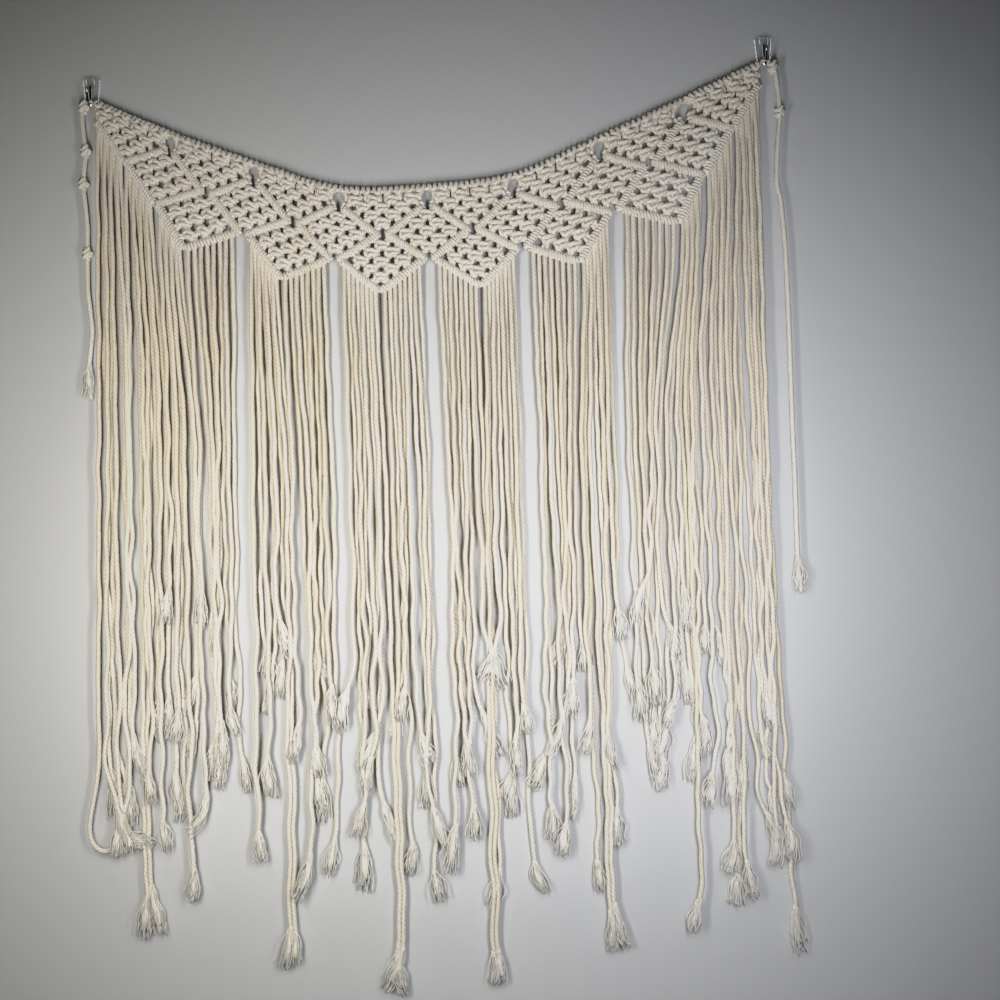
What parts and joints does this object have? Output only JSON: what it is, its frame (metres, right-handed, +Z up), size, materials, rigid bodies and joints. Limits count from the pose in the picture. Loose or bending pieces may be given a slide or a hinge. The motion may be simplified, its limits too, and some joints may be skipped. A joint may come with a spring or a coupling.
{
  "type": "macrame wall hanging with its wall hooks",
  "caption": "Knotted cotton panel with a zigzag lower edge and a long uneven fringe, on a sagging mounting cord with free tails, hung from small wall hooks.",
  "frame": {"origin": "centre of the left hook's back face, on the wall", "axes": "+X to the right along the wall, +Y into the wall, +Z up; the cloth faces -Y"},
  "size_m": [0.7154, 0.0173, 0.9488],
  "materials": {
    "cotton_cord": "matte twisted cotton",
    "clear_plastic": "clear, glossy",
    "polished_wire": "polished wire"
  },
  "bodies": {
    "root": {"hook_left_plate": "clear_plastic", "hook_left_wire": "polished_wire", "hook_right_plate": "clear_plastic", "hook_right_wire": "polished_wire", "mounting_cord": "cotton_cord", "tail_left": "cotton_cord", "tail_right": "cotton_cord", "knotted_panel": "cotton_cord", "fringe_1": "cotton_cord", "fringe_2": "cotton_cord", "fringe_3": "cotton_cord", "fringe_4": "cotton_cord", "fringe_5": "cotton_cord", "fringe_6": "cotton_cord"}
  },
  "joints": []
}
